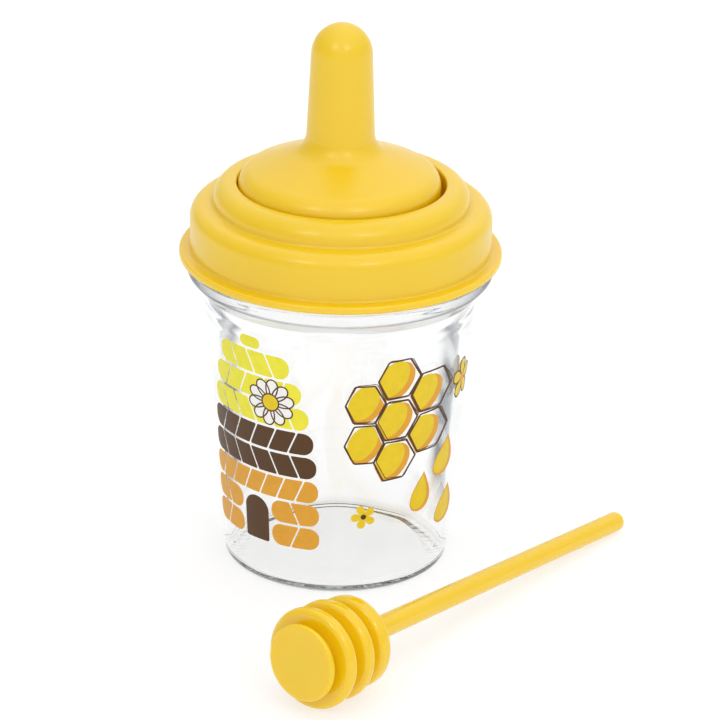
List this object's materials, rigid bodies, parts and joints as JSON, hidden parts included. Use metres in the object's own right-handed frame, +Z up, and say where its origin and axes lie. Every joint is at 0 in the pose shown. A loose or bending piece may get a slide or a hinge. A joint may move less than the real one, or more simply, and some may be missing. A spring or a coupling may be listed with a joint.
{
  "type": "honey jar with spoon",
  "caption": "Tapered clear glass honey jar with a stepped yellow lid, a stopper with a tall post handle, and a ridged honey dipper lying beside it.",
  "frame": {"origin": "centre of the jar's underside, on the surface that the jar stands on", "axes": "+Z up along the jar's axis, +X to the right in the picture's view, +Y away from the viewer"},
  "size_m": [0.1348, 0.162, 0.1651],
  "materials": {
    "glass": "clear, smooth, polished",
    "yellow_plastic": "moulded, satin sheen",
    "print": "thin fired print on the glass"
  },
  "bodies": {
    "root": {"glass_jar": "glass", "lid_cover": "yellow_plastic", "lid_stopper": "yellow_plastic", "dipper": "yellow_plastic"}
  },
  "joints": []
}
